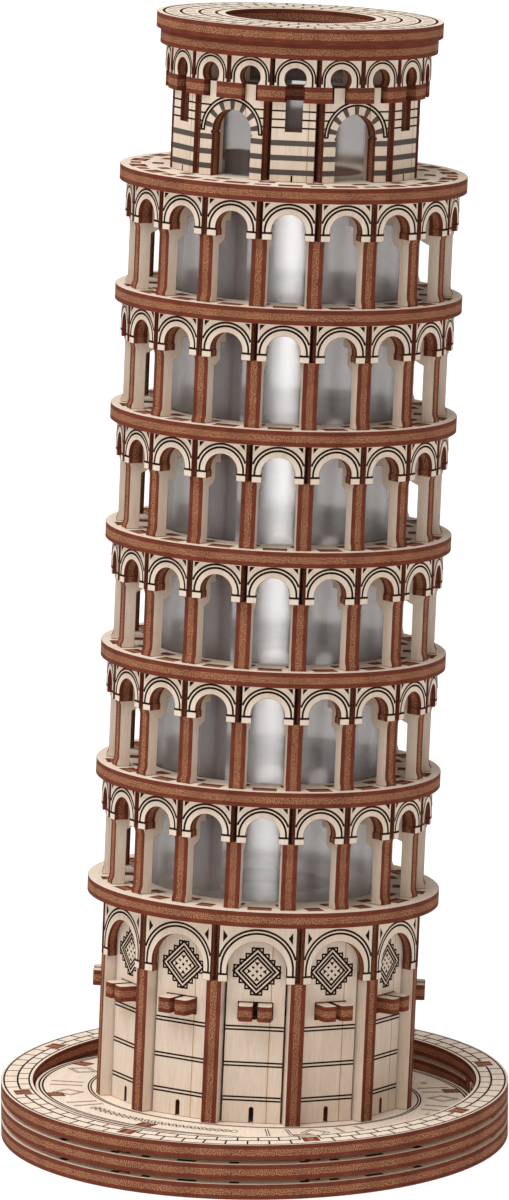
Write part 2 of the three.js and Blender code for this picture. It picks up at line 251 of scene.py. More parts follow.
def make_grain_group():
    """Wood figure: long soft bands, fine dark fibres and one vein 4 mm off the middle, all along y."""
    tree, takes, gives = new_group("wood figure", [("Place", "NodeSocketVector")],
                                   [("Bands", "NodeSocketFloat"), ("Fibres", "NodeSocketFloat"),
                                    ("Vein", "NodeSocketFloat")])
    nodes, wire = tree.nodes, lambda a, b: tree.links.new(a, b)
    place = takes.outputs["Place"]
    bands = stretched_noise(nodes, wire, place, (1, 0.05, 1), 4.5, 4)
    wire(ramp(nodes, wire, bands, 0.3, 0.72), gives.inputs["Bands"])
    fibres = stretched_noise(nodes, wire, place, (1, 0.045, 1), 34, 3, 0.7)
    wire(ramp(nodes, wire, fibres, 0.46, 0.74), gives.inputs["Fibres"])
    drift = stretched_noise(nodes, wire, place, (0.3, 0.25, 1), 1.0, 2)
    bend = node(nodes, "ShaderNodeMath", "MULTIPLY_ADD", in_1=0.045)
    wire(drift, bend.inputs[0])
    across = nodes.new("ShaderNodeSeparateXYZ")
    wire(place, across.inputs[0])
    wire(across.outputs["X"], bend.inputs[2])
    off = node(nodes, "ShaderNodeMath", "SUBTRACT", in_1=0.412)
    wire(bend.outputs[0], off.inputs[0])
    apart = node(nodes, "ShaderNodeMath", "ABSOLUTE")
    wire(off.outputs[0], apart.inputs[0])
    wire(ramp(nodes, wire, apart.outputs[0], 0.022, 0.006), gives.inputs["Vein"])
    return tree


def make_ply_group():
    """The edge of three-ply: where its speckled core lies, and the streaks and scorch along it."""
    tree, takes, gives = new_group("ply layers", [("Place", "NodeSocketVector")],
                                   [("Core", "NodeSocketFloat"), ("Speckle", "NodeSocketFloat"),
                                    ("Char", "NodeSocketFloat"), ("Streaks", "NodeSocketFloat")])
    nodes, wire = tree.nodes, lambda a, b: tree.links.new(a, b)
    place = takes.outputs["Place"]
    split = nodes.new("ShaderNodeSeparateXYZ")
    wire(place, split.inputs[0])
    wander = stretched_noise(nodes, wire, place, (2.2, 0, 1), 3.0, 3)
    level = node(nodes, "ShaderNodeMath", "MULTIPLY_ADD", in_1=0.07)
    wire(wander, level.inputs[0])
    wire(split.outputs["Y"], level.inputs[2])
    from_middle = node(nodes, "ShaderNodeMath", "SUBTRACT", in_1=0.535)
    wire(level.outputs[0], from_middle.inputs[0])
    height = node(nodes, "ShaderNodeMath", "ABSOLUTE")
    wire(from_middle.outputs[0], height.inputs[0])
    wire(ramp(nodes, wire, height.outputs[0], 0.235, 0.195), gives.inputs["Core"])
    speckle = stretched_noise(nodes, wire, place, (1, 0.42, 1), 34, 2, 0.7)
    wire(ramp(nodes, wire, speckle, 0.42, 0.60), gives.inputs["Speckle"])
    char = stretched_noise(nodes, wire, place, (1, 0.3, 1), 1.6, 4, 0.6)
    wire(ramp(nodes, wire, char, 0.35, 0.7), gives.inputs["Char"])
    streaks = stretched_noise(nodes, wire, place, (0.25, 2.6, 1), 9, 3, 0.6)
    wire(ramp(nodes, wire, streaks, 0.35, 0.7), gives.inputs["Streaks"])
    return tree


wood_figure, ply_layers = make_grain_group(), make_ply_group()


def use_group(nodes, wire, tree):
    """The group's node, fed with the UV map, which is in centimetres."""
    group = nodes.new("ShaderNodeGroup")
    group.node_tree = tree
    place = nodes.new("ShaderNodeTexCoord")
    wire(place.outputs["UV"], group.inputs["Place"])
    return group.outputs


def relief(nodes, wire, skin, height, strength, distance=0.00008):
    bump = node(nodes, "ShaderNodeBump", Strength=strength, Distance=distance)
    wire(height, bump.inputs["Height"])
    wire(bump.outputs["Normal"], skin.inputs["Normal"])


def veneer_shade(nodes, wire, skin, veined=False):
    figure = use_group(nodes, wire, wood_figure)
    body = blend_colour(nodes, wire, figure["Bands"], (0.80, 0.655, 0.525), (0.745, 0.595, 0.465))
    colour = blend_colour(nodes, wire, figure["Fibres"], body, (0.66, 0.50, 0.375))
    if veined:
        colour = blend_colour(nodes, wire, figure["Vein"], colour, (0.50, 0.26, 0.105))
    wire(colour, skin.inputs["Base Color"])
    skin.inputs["Roughness"].default_value = 0.62
    skin.inputs["Specular IOR Level"].default_value = 0.3
    relief(nodes, wire, skin, figure["Fibres"], 0.25)


def veined_shade(nodes, wire, skin):
    veneer_shade(nodes, wire, skin, veined=True)


def cut_edge_shade(nodes, wire, skin):
    ply = use_group(nodes, wire, ply_layers)
    outer = blend_colour(nodes, wire, ply["Streaks"], (0.205, 0.048, 0.024), (0.130, 0.026, 0.013))
    core = blend_colour(nodes, wire, ply["Speckle"], (0.105, 0.026, 0.012), (0.560, 0.250, 0.125))
    layered = blend_colour(nodes, wire, ply["Core"], outer, core)
    scorch = blend_colour(nodes, wire, ply["Char"], (1.0, 1.0, 1.0), (0.78, 0.74, 0.72))
    shaded = nodes.new("ShaderNodeMix")
    shaded.data_type, shaded.blend_type = "RGBA", "MULTIPLY"
    shaded.inputs["Factor"].default_value = 1.0
    wire(layered, shaded.inputs[6])
    wire(scorch, shaded.inputs[7])
    wire(shaded.outputs[2], skin.inputs["Base Color"])
    skin.inputs["Roughness"].default_value = 0.8
    skin.inputs["Specular IOR Level"].default_value = 0.1
    relief(nodes, wire, skin, ply["Speckle"], 0.5, 0.00012)


def engraving_shade(nodes, wire, skin):
    figure = use_group(nodes, wire, wood_figure)
    burnt = blend_colour(nodes, wire, figure["Fibres"], (0.013, 0.005, 0.003), (0.030, 0.012, 0.008))
    wire(burnt, skin.inputs["Base Color"])
    skin.inputs["Roughness"].default_value = 0.85
    skin.inputs["Specular IOR Level"].default_value = 0.1
    relief(nodes, wire, skin, figure["Fibres"], 0.44)


def hatching_shade(nodes, wire, skin):
    """A band shaded by closely spaced passes of the laser along x."""
    figure = use_group(nodes, wire, wood_figure)
    place = nodes.new("ShaderNodeTexCoord")
    split = nodes.new("ShaderNodeSeparateXYZ")
    wire(place.outputs["UV"], split.inputs[0])
    scan = node(nodes, "ShaderNodeMath", "PINGPONG", in_1=0.016)
    wire(split.outputs["Y"], scan.inputs[0])
    passes = ramp(nodes, wire, scan.outputs[0], 0.004, 0.012)
    dark = blend_colour(nodes, wire, figure["Fibres"], (0.060, 0.042, 0.034), (0.034, 0.024, 0.020))
    wire(blend_colour(nodes, wire, passes, dark, (0.095, 0.070, 0.056)), skin.inputs["Base Color"])
    skin.inputs["Roughness"].default_value = 0.8
    relief(nodes, wire, skin, passes, 0.3)


plywood = [material("pale veneer", veneer_shade), material("laser-cut edge", cut_edge_shade),
           material("engraving", engraving_shade), material("hatched engraving", hatching_shade),
           material("veined veneer", veined_shade)]


def make_piece(name, shapes, stands_for, where=Matrix.Identity(4), materials=plywood):
    """One piece of the model from its shapes. Millimetres become metres."""
    shape = together(shapes)
    mesh = bpy.data.meshes.new(name)
    mesh.vertices.add(len(shape.points))
    mesh.vertices.foreach_set("co", (shape.points / 1000).astype(np.float32).ravel())
    mesh.loops.add(len(shape.corners))
    mesh.loops.foreach_set("vertex_index", shape.corners.astype(np.int32))
    mesh.polygons.add(len(shape.sizes))
    starts = np.concatenate([[0], np.cumsum(shape.sizes)[:-1]]).astype(np.int32)
    mesh.polygons.foreach_set("loop_start", starts)
    mesh.polygons.foreach_set("loop_total", shape.sizes.astype(np.int32))
    mesh.polygons.foreach_set("material_index", shape.finishes.astype(np.int32))
    mesh.update(calc_edges=True)
    mesh.uv_layers.new(name="plan").data.foreach_set("uv", shape.uvs.astype(np.float32).ravel())
    for m in materials:
        mesh.materials.append(m)
    mesh.shade_smooth()
    mesh.set_sharp_from_angle(angle=math.radians(30))
    piece = bpy.data.objects.new(name, mesh)
    bpy.context.scene.collection.objects.link(piece)
    piece.matrix_world = where
    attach(piece, "root")
    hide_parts(*stands_for)
    return piece


BASE_RADIUS, BASE_BORE, BASE_PITCH = 66.6, 58.2, 5.23
BASE_RIB_ANGLES = [15 + 45 * i for i in range(8)]
RING_TENON = 62.2          # radius of the tenons through the top ring
TENON_HOLE = 4.16
BRICKS = 72
# Dark marks on the two lower rings, painted shade where slots show through the gaps: the angle and the
# width of each.
SHADED_SLOT_MARKS = [(a + half_turn, wide) for half_turn in (0, 180) for a, wide in (
    (-48, 2.6), (-32, 2.4), (-24, 2.4), (-14, 5), (-3, 2.4),
    (13, 2.4), (20, 2.4), (30, 5), (42, 2.6), (75, 5))]


def ring_plan(bore, notch_angles, width, reach, sides=144):
    """A ring's bore as one loop, with a notch cut outwards from it at each angle."""
    loop = []
    half_turn = math.degrees(math.asin(width / 2 / bore))
    for i in range(sides):
        at = 360 * i / sides
        if all(abs((at - a + 180) % 360 - 180) > half_turn for a in notch_angles):
            loop.append((at, turned(0, -bore, at)))
    for a in notch_angles:
        edge = -math.sqrt(bore * bore - width * width / 4)
        notch = [(-width / 2, edge), (-width / 2, -reach), (width / 2, -reach), (width / 2, edge)]
        for k, (x, y) in enumerate(notch):
            loop.append((a % 360 + (k - 1.5) * half_turn / 2, turned(x, y, a)))
    return [p for _, p in sorted(loop, key=lambda item: item[0])]


def base_ring(level):
    rim = circle(BASE_RADIUS, 180)
    if level < 2:
        holes = [ring_plan(BASE_BORE, BASE_RIB_ANGLES, TENON_HOLE, RING_TENON + TENON_HOLE / 2)]
        # painted shade: flat dark patches stand for the shadowed slots seen between the rings
        slot_shades = [engraved_patch(box_at(64.6, a, wide, 1.5)) for a, wide in SHADED_SLOT_MARKS]
        return [placed(together([cut_sheet(rim, holes), *slot_shades]), lying(level * BASE_PITCH), vary=False)]
    holes = [circle(BASE_BORE, 144)]
    holes += [box_at(RING_TENON, a, TENON_HOLE, TENON_HOLE) for a in BASE_RIB_ANGLES]
    marks = [engraved_line(circle(r, 144), 0.45, closed=True) for r in (65.8, 59.2)]
    breaks = sorted(a % 360 for a in BASE_RIB_ANGLES)
    for a in breaks:
        course = [turned(0, -RING_TENON, t) for t in np.linspace(a + 2.4, a + 42.6, 28)]
        marks.append(engraved_line(course, LINE))
    for i in range(BRICKS):
        for inner, outer, shift in ((62.4, 65.7, 0), (59.3, 62.0, 0.5)):
            a = 360 * (i + shift) / BRICKS
            if min(abs((a - b + 180) % 360 - 180) for b in breaks) > 2.3:
                marks.append(engraved_line([turned(0, -inner, a), turned(0, -outer, a)], FINE))
    return [placed(together([cut_sheet(rim, holes), *marks]), lying(2 * BASE_PITCH), vary=False)]


for level, word in enumerate(["bottom", "middle", "top"]):
    make_piece(f"base_ring_{word}", base_ring(level), [f"base_{word}_ring"])

# ---- base ribs -----------------------------------------------------------------------------------
# Eight upright ribs of the same plywood, slotted through the two lower rings. Each ends in a tenon
# that shows as a brown square in the top ring, and carries the tilted plaza on a second tenon.
LEAN, LEAN_TOWARDS, PLAZA_HEIGHT = 4.0, 54.6, 10.46
PLAZA_TENON, RIB_INNER = 53.5, 48.5
SNUG = 0.06                # the glue line between two pieces


def plaza_height(radius, angle):
    uphill = math.cos(math.radians(angle - 90 - LEAN_TOWARDS))
    return PLAZA_HEIGHT - math.tan(math.radians(LEAN)) * radius * uphill


def base_rib(angle):
    def under(r):
        return plaza_height(r, angle) - SHEET / math.cos(math.radians(LEAN)) - SNUG
    half, step = SHEET / 2, BASE_BORE - 0.3
    ledge, top = 2 * BASE_PITCH - SNUG, 2 * BASE_PITCH + SHEET - 0.05
    near, far = PLAZA_TENON - half, PLAZA_TENON + half
    outline = [(RIB_INNER, 0), (RING_TENON + half, 0), (RING_TENON + half, top), (RING_TENON - half, top),
               (RING_TENON - half, ledge), (step, ledge), (step, under(step)), (far, under(far)),
               (far, plaza_height(far, angle)), (near, plaza_height(near, angle)), (near, under(near)),
               (RIB_INNER, under(RIB_INNER))]
    return placed(cut_sheet(outline), radial(angle))


for i, angle in enumerate(BASE_RIB_ANGLES):
    make_piece(f"base_spacer_rib_{i + 1}", [base_rib(angle)], [f"base_rib_{i + 1}"])

# ---- plaza ---------------------------------------------------------------------------------------
# A disc of plywood that lies tilted inside the top ring and sets the tower's lean. Its veneer is
# engraved with kerb circles, paving lines, lozenges and plain scrolls, and eight rib tenons show.
lean_axis = (-math.sin(math.radians(LEAN_TOWARDS)), math.cos(math.radians(LEAN_TOWARDS)), 0)
LEANING = (Matrix.Translation((0, 0, PLAZA_HEIGHT / 1000))
           @ Matrix.Rotation(math.radians(LEAN), 4, lean_axis))
PLAZA_RADIUS = 57.6
PAVING_LINES = (5.4, 12, 29, 36.5, 76, 82.5, 103.5, 109.5, 150, 156, 178, 184, 224, 230,
                266.5, 271.6, 296, 300.6)
MIDWAY = 49.6              # radius of the lozenges and of the scroll
SCROLL_START, SCROLL_STEP, WAVE_STEP = -56, 0.32, 0.42


def paving_marks():
    """Kerbs, radial paving lines, lozenges and strokes, and a waved scroll in front."""
    def at(radius, angle):
        return turned(0, -radius, angle)
    marks = [engraved_line(circle(r, 144), width, closed=True)
             for r, width in ((56.6, LINE), (55.7, LINE), (43.7, 0.4), (43.0, 0.4))]
    for a in PAVING_LINES:
        for step in (-0.38, 0.38):
            marks.append(engraved_line([at(45.2, a + step), at(53.8, a + step)], HAIR))
    for a in (20, 94, 167, 248, 282):
        for u, v in ((4.2, 4.5), (3.2, 3.2)):
            corners = [at(MIDWAY - u, a), at(MIDWAY, a + v), at(MIDWAY + u, a), at(MIDWAY, a - v)]
            marks.append(engraved_line(corners, HAIR, closed=True))
    for a in (45, 69, 116, 140, 200, 212):
        for step in (-0.7, 0.7):
            marks.append(engraved_line([at(48.4, a + step), at(50.6, a + step + 1.2)], 0.4))
    for shift in (0, math.pi):
        wave = [at(MIDWAY + 1.5 * math.sin(i * WAVE_STEP + shift), SCROLL_START + i * SCROLL_STEP)
                for i in range(165)]
        marks.append(engraved_line(wave, 0.3))
    for a in SCROLL_START + SCROLL_STEP * (math.pi / WAVE_STEP) * (np.arange(21) + 0.5):
        diamond = [at(49.1, a), at(MIDWAY, a + 0.5), at(50.1, a), at(MIDWAY, a - 0.5)]
        marks.append(engraved_patch(diamond))
    return marks


def plaza():
    holes = [box_at(PLAZA_TENON, a, 4.44, 4.44) for a in BASE_RIB_ANGLES]
    sheet = together([cut_sheet(circle(PLAZA_RADIUS, 180), holes), *paving_marks()])
    return placed(sheet, lying(-SHEET), vary=False)


make_piece("plaza_paving", [plaza()], ["plaza_disc"], LEANING)

# ---- ground storey: ribs and blind arches --------------------------------------------------------
# Twelve radial ribs stand on the plaza with their cut edges outwards. A plate with a round arch is
# glued across each pair on the ribs' shoulders, engraved with mouldings and spandrel darts.
GROUND_BAYS = 12
CORNICE_UNDER = 52.8       # underside of the first cornice
GROUND_CAPITAL = 37.4
GROUND_ARCH_FRONT = 41.3
ARCH_SHEET = 2.6           # the arches are of thinner plywood


def upright(front, angle, height=0.0, thickness=SHEET):
    """Where a sheet stands as a wall: its x runs along the wall, its y up, its front faces out."""
    axes = Matrix(((1, 0, 0, 0), (0, 0, -1, thickness - front), (0, 1, 0, height), (0, 0, 0, 1)))
    return Matrix.Rotation(math.radians(angle), 4, "Z") @ axes


def mirrored(path):
    return [(-x, y) for x, y in path[::-1]]


def ground_arch():
    half, opening, centre, capital = 9.95, 7.85, 40.4, GROUND_CAPITAL
    top = CORNICE_UNDER - SNUG
    foot = [(opening, capital + 1.95), (opening - 0.25, capital + 1.75), (opening - 0.25, capital),
            (half, capital)]
    outline = (mirrored(foot) + arc(opening, 180, 0, 28, 0, centre) + foot + [(half, top), (-half, top)])
    line = capital + 2.0
    marks = []
    for side in (-1, 1):
        marks.append(engraved_line([(side * 7.62, line), (side * half, line)], BOLD, on=ARCH_SHEET))
        dart = [(side * 9.0, 51.0), (side * 9.0, 47.8), (side * 7.85, 49.4)]
        marks.append(engraved_patch(dart, on=ARCH_SHEET))
    moulding = [(-9.3, line)] + arc(9.3, 180, 0, 32, 0, 41.05) + [(9.3, line)]
    marks.append(engraved_line(moulding, BOLD, on=ARCH_SHEET))
    reach = math.degrees(math.acos(9.82 / 10.2))
    marks.append(engraved_line(arc(10.2, 180 - reach, reach, 32, 0, 41.1), BOLD, on=ARCH_SHEET))
    return together([cut_sheet(outline, thickness=ARCH_SHEET), *marks])


def ground_rib():
    top = CORNICE_UNDER - SNUG
    inner, recess, outer, shoulder = 37.9, 39.2, 42.2, GROUND_CAPITAL - 0.05
    return cut_sheet([(inner, SNUG), (outer, SNUG), (outer, shoulder), (recess, shoulder),
                      (recess, top), (inner, top)])


plate, rib = ground_arch(), ground_rib()
bays = [360 * i / GROUND_BAYS for i in range(GROUND_BAYS)]
make_piece("ground_arch_plates",
           [placed(plate, upright(GROUND_ARCH_FRONT, a, thickness=ARCH_SHEET)) for a in bays],
           ["ground_arcade"], LEANING)
make_piece("ground_ribs", [placed(rib, radial(a + 15)) for a in bays],
           ["ground_arcade"], LEANING)

# ---- ground storey: wall panels ------------------------------------------------------------------
# Between the ribs, twelve separate veneer panels close the wall. Each is engraved with a lozenge
# rosette and three double string courses, pierced for the brackets, and has a small round-topped slit.
PANEL_FRONT, ROSETTE, BRACKET_BOTTOM = 38.4, 6.1, 27.6


def rosette(x, y):
    marks = []
    for reach in (ROSETTE, 4.75, 3.65):
        corners = [(x, y - reach), (x + reach, y), (x, y + reach), (x - reach, y)]
        marks.append(engraved_line(corners, BOLD, closed=True))
    steps = 4
    leg = ROSETTE / steps
    for sx in (-1, 1):
        for sy in (-1, 1):
            for k in range(steps):
                left, right = k * leg, (k + 0.92) * leg
                tip = [(left, ROSETTE - left), (right, ROSETTE - left), (right, ROSETTE - right)]
                marks.append(engraved_line([(x + sx * a, y + sy * b) for a, b in tip], FINE))
    dart = [(1.4, 0), (2.6, -0.72), (2.35, 0), (2.6, 0.72)]
    dash = [(1.15, -0.32), (1.85, -0.2), (1.85, 0.2), (1.15, 0.32)]
    for k in range(4):
        for mark, angle in ((dart, 90 * k), (dash, 90 * k + 45)):
            spun = [turned(u, v, angle) for u, v in mark]
            marks.append(engraved_patch([(x + u, y + v) for u, v in spun]))
    marks.append(engraved_patch([(x, y - 0.46), (x + 0.46, y), (x, y + 0.46), (x - 0.46, y)]))
    return marks


def ground_panel():
    half, slot, head, top = 7.6, 0.57, 3.65, CORNICE_UNDER - SNUG
    slit = arc(slot, 180, 0, 8, 0, head)[1:-1]
    slit = [(-slot, SNUG), (-slot, head)] + slit + [(slot, head), (slot, SNUG)]
    outline = [(-half, SNUG)] + slit + [(half, SNUG), (half, top), (-half, top)]
    marks = rosette(0, 39.9)
    for height in (24.96, 15.47, 6.37):
        for step in (-0.45, 0.45):
            course = [(-half + 0.02, height + step), (half - 0.02, height + step)]
            marks.append(engraved_line(course, FINE))
    low, high = BRACKET_BOTTOM - 0.3, BRACKET_BOTTOM + SHEET + 0.3
    hole = [(-4.55, low), (4.55, low), (4.55, high), (-4.55, high)]
    return together([cut_sheet(outline, [hole], face=VEINED), *marks])


panel = ground_panel()
for i, angle in enumerate(bays):
    make_piece(f"ground_panel_{i + 1:02d}", [placed(panel, upright(PANEL_FRONT, angle), across=0)],
               [f"ground_wall_panel_{i + 1:02d}"], LEANING)

# ---- brackets ------------------------------------------------------------------------------------
# One ring lies inside the wall, and a pair of round-nosed fingers of it comes out through each panel.
# It is cut in one piece from plywood, so the fingers show three brown plies under a pale top.


def bracket_ring():
    hub, reach, nose = 33.9, 43.5, 0.9
    loop = []
    for angle in bays:
        for x0, x1 in ((-4.35, -0.62), (0.62, 4.35)):
            left = [(x0, -math.sqrt(hub * hub - x0 * x0)), (x0, -reach + nose)]
            front = (arc(nose, 180, 270, 5, x0 + nose, -reach + nose)[1:]
                     + arc(nose, 270, 360, 5, x1 - nose, -reach + nose))
            right = [(x1, -math.sqrt(hub * hub - x1 * x1))]
            loop += [turned(x, y, angle) for x, y in left + front + right]
        loop += [turned(0, -hub, angle + t) for t in (10, 12.5, 15, 17.5, 20)]
    return cut_sheet(loop, [circle(27.9, 72)])


make_piece("bracket_fingers", [placed(bracket_ring(), lying(BRACKET_BOTTOM), vary=False)],
           ["bracket_ring"], LEANING)

# ---- cornices ------------------------------------------------------------------------------------
# Seven flat plywood rings are the floors between the storeys. The lowest and the top one nearly close
# the light tube, the others let it through. Tenons of the plates and columns come up through slots.
STOREY, FIRST_TOP, GALLERIES, GALLERY_BAYS = 31.18, 56.8, 6, 18
gallery_bays = [360 * i / GALLERY_BAYS for i in range(GALLERY_BAYS)]
PLATE_TENON, COLUMN_TENON = 40.67, 35.2     # radii of the slots


def cornice(floor):
    radius = 46.0 if floor == 0 else 45.0
    closes = floor in (0, GALLERIES)
    holes = [circle(17.5 if closes else 31.5, 96)]
    for i, a in enumerate(gallery_bays):
        wide = 6.1 if floor or i % 3 == 0 else 4.2
        holes.append(box_at(PLATE_TENON, a, wide, TENON_HOLE))
        holes.append(box_at(COLUMN_TENON, a + 10, TENON_HOLE, 2.8))
        if floor == GALLERIES:
            holes.append(box_at(41.0, a + 10, 4.0, 2.6))
    if closes:
        holes.append(box_at(21.2, -42, 5.0, 5.0))
    return cut_sheet(circle(radius, 180), holes)


def tenon_end(x0, x1, thickness=SHEET):
    return cut_sheet([(x0, 0), (x1, 0), (x1, 3.8), (x0, 3.8)], thickness=thickness)


def loose_tenons(floor):
    """Ends of tenons whose plates hide under the first cornice, and beside the belfry's floor."""
    ends = []
    for i, a in enumerate(gallery_bays):
        if floor == 0:
            wide = 6.0 if i % 3 == 0 else 4.1
            ends.append(placed(tenon_end(-wide / 2, wide / 2), upright(PLATE_TENON + 2, a)))
            ends.append(placed(tenon_end(COLUMN_TENON - 1.35, COLUMN_TENON + 1.35), radial(a + 10)))
        else:
            ends.append(placed(tenon_end(39.75, 42.25, 3.9), radial(a + 10, thickness=3.9)))
    return ends


for floor in range(GALLERIES + 1):
    under = FIRST_TOP - SHEET + floor * STOREY
    make_piece(f"cornice_{floor + 1}", [placed(cornice(floor), lying(under))],
               [f"cornice_ring_{floor + 1}"], LEANING)
    if floor in (0, GALLERIES):
        ends = [s._replace(points=s.points + (0, 0, under + 0.1)) for s in loose_tenons(floor)]
        make_piece(f"cornice_{floor + 1}_tenon_ends", ends,
                   [f"cornice_ring_{floor + 1}"], LEANING)

# ---- galleries: columns and arch plates ----------------------------------------------------------
# Each of the six galleries has eighteen radial plywood columns with a flared foot and neck, and
# eighteen arch plates on their shoulders, engraved with a double moulding and tenoned in the cornice.
CLEAR = STOREY - SHEET
ARCH_FRONT = 42.67


def gallery_column():
    top, tenon = CLEAR - SNUG, CLEAR + SHEET - 0.12
    foot = [(38.8, SNUG), (42.3, SNUG), (42.3, 0.9), (42.1, 1.4), (41.88, 1.9), (41.8, 2.5)]
    neck = [(41.8, 15.8), (41.9, 16.3), (42.1, 16.75), (42.1, 17.24), (38.7, 17.24)]
    near, far = COLUMN_TENON - 1.35, COLUMN_TENON + 1.35
    head = [(38.7, top), (far, top), (far, tenon), (near, tenon), (near, top), (33.5, top), (33.5, 20.4)]
    lobe = ([(36.0, 20.4), (36.0, 17.2)] + arc(1.6, 190, 250, 5, 37.6, 16.9)
            + [(38.0, 14.9), (38.6, 14.75), (38.8, 14.4)])
    return cut_sheet(foot + neck + head + lobe)


def gallery_arch():
    half, opening, centre, capital = 6.7, 4.4, 19.6, 17.3
    top, tenon = CLEAR - SNUG, CLEAR + SHEET - 0.12
    line = 19.05
    foot = [(opening, line), (opening - 0.25, 18.9), (opening - 0.25, capital), (half, capital)]
    outline = (mirrored(foot) + arc(opening, 180, 0, 22, 0, centre) + foot
               + [(half, top), (3.0, top), (3.0, tenon), (-3.0, tenon), (-3.0, top), (-half, top)])
    marks = [engraved_line([(-6.05, line)] + arc(6.05, 180, 0, 26, 0, centre) + [(6.05, line)], BOLD)]
    reach = math.degrees(math.acos(6.52 / 6.95))
    marks.append(engraved_line(arc(6.95, 180 - reach, reach, 26, 0, centre), BOLD))
    for side in (-1, 1):
        marks.append(engraved_line([(side * 4.18, line), (side * half, line)], BOLD))
        dart = [(side * 6.2, 26.75), (side * 4.85, 26.75), (side * 6.2, 25.3)]
        marks.append(engraved_patch(dart))
    return together([cut_sheet(outline), *marks])


column, plate = gallery_column(), gallery_arch()
for floor in range(GALLERIES):
    lift = FIRST_TOP + floor * STOREY
    node_name = [f"gallery_arcade_{floor + 1}"]
    columns = [placed(column, radial(a + 10, lift)) for a in gallery_bays]
    make_piece(f"gallery_{floor + 1}_columns", columns, node_name, LEANING)
    plates = [placed(plate, upright(ARCH_FRONT, a, lift)) for a in gallery_bays]
    make_piece(f"gallery_{floor + 1}_arch_plates", plates, node_name, LEANING)

# ---- light tube and core post --------------------------------------------------------------------
# A sheet of frosted film, rolled into a tube through all the galleries, spreads the light of a lamp
# inside. A square plywood post stands in it and ends as a stub above the belfry's floor.
FILM, TUBE_RADIUS, BELFRY_TUBE_RADIUS = 0.5, 31.0, 25.3


def tube(radius, bottom, top, sides=96):
    """A thin-walled tube, its wall in one closed mesh."""
    loop = np.array(circle(radius, sides))
    inner = np.array(circle(radius - FILM, sides))
    rails = [(loop, bottom), (loop, top), (inner, top), (inner, bottom)]
    points = np.concatenate([np.column_stack([xy, np.full(sides, z)]) for xy, z in rails])
    corners, uvs = [], []
    step = 0.628 * radius / sides        # centimetres along the film
    for i in range(sides):
        j = (i + 1) % sides
        for k in range(4):
            m = (k + 1) % 4
            corners += [k * sides + i, k * sides + j, m * sides + j, m * sides + i]
            low, high = rails[k][1] / 10, rails[m][1] / 10
            a, b = i * step, (i + 1) * step
            uvs += [(a, low), (b, low), (b, high), (a, high)]
    count = sides * 4
    return Shape(points, np.array(corners), np.full(count, 4), np.zeros(count, int), np.array(uvs))


def film_shade(nodes, wire, skin, glossy=1.0):
    place = nodes.new("ShaderNodeTexCoord")
    cloud = stretched_noise(nodes, wire, place.outputs["UV"], (1, 1, 1), 1.4, 3, 0.5)
    frost = stretched_noise(nodes, wire, place.outputs["UV"], (1, 1, 1), 60, 2, 0.6)
    tint = blend_colour(nodes, wire, cloud, (0.66, 0.64, 0.63), (0.60, 0.58, 0.57))
    wire(tint, skin.inputs["Base Color"])
    skin.inputs["Roughness"].default_value = 0.22
    skin.inputs["IOR"].default_value = 1.08
    skin.inputs["Transmission Weight"].default_value = 0.9
    skin.inputs["Coat Weight"].default_value = glossy
    skin.inputs["Coat Roughness"].default_value = 0.38
    skin.inputs["Coat IOR"].default_value = 1.9
    relief(nodes, wire, skin, frost, 0.35, 0.00006)


def matt_film_shade(nodes, wire, skin):
    film_shade(nodes, wire, skin, glossy=0.0)


film = [material("frosted film", film_shade)]
matt_film = [material("matt frosted film", matt_film_shade)]
FLOOR_TOP = FIRST_TOP + GALLERIES * STOREY
make_piece("light_tube_film", [tube(TUBE_RADIUS, FIRST_TOP + 0.05, FLOOR_TOP - SHEET - 0.05)],
           ["light_tube"], LEANING, film)
POST, POST_RADIUS, POST_ANGLE = 4.8, 21.2, -42
post_foot, post_top = FIRST_TOP - SHEET + 0.05, FLOOR_TOP + 6
half = POST / 2
post = cut_sheet([(-half, post_foot), (half, post_foot), (half, post_top), (-half, post_top)],
                 thickness=POST, face=CUT_EDGE)
make_piece("light_post", [placed(post, upright(POST_RADIUS + half, POST_ANGLE, 0, POST), vary=False)],
           ["core_post"], LEANING)

# ---- belfry: walls -------------------------------------------------------------------------------
# Six walls with an open slit alternate with six door walls, all of veneered plywood. They are
# engraved with stripes of shaded masonry, and the doorways with a ring of dark and light voussoirs.
BATTLEMENT_BOTTOM = 20.5
COURSES, JOINTS = (10.0, 6.2, 2.5), (13.9, 16.0, 18.2)
SLIT_WALL_FRONT, DOOR_WALL_FRONT = 32.8, 31.8


def belt(x0, x1, height, tall=1.4):
    return engraved_patch([(x0, height - tall / 2), (x1, height - tall / 2), (x1, height + tall / 2),
                           (x0, height + tall / 2)], finish=HATCHED)


def slit_wall():
    half, slit, sill, top = 5.65, 2.15, 12.9, BATTLEMENT_BOTTOM - SNUG
    outline = [(-half, SNUG), (half, SNUG), (half, top), (slit, top), (slit, sill), (-slit, sill),
               (-slit, top), (-half, top)]
    marks = [belt(-half + 0.03, half - 0.03, h) for h in COURSES]
    for h in JOINTS:
        for side in (-1, 1):
            marks.append(engraved_line([(side * (slit + 0.03), h), (side * (half - 0.03), h)], THIN))
    marks.append(engraved_line([(0, 0.12), (0, 1.7)], LINE))
    return together([cut_sheet(outline, face=VEINED), *marks])


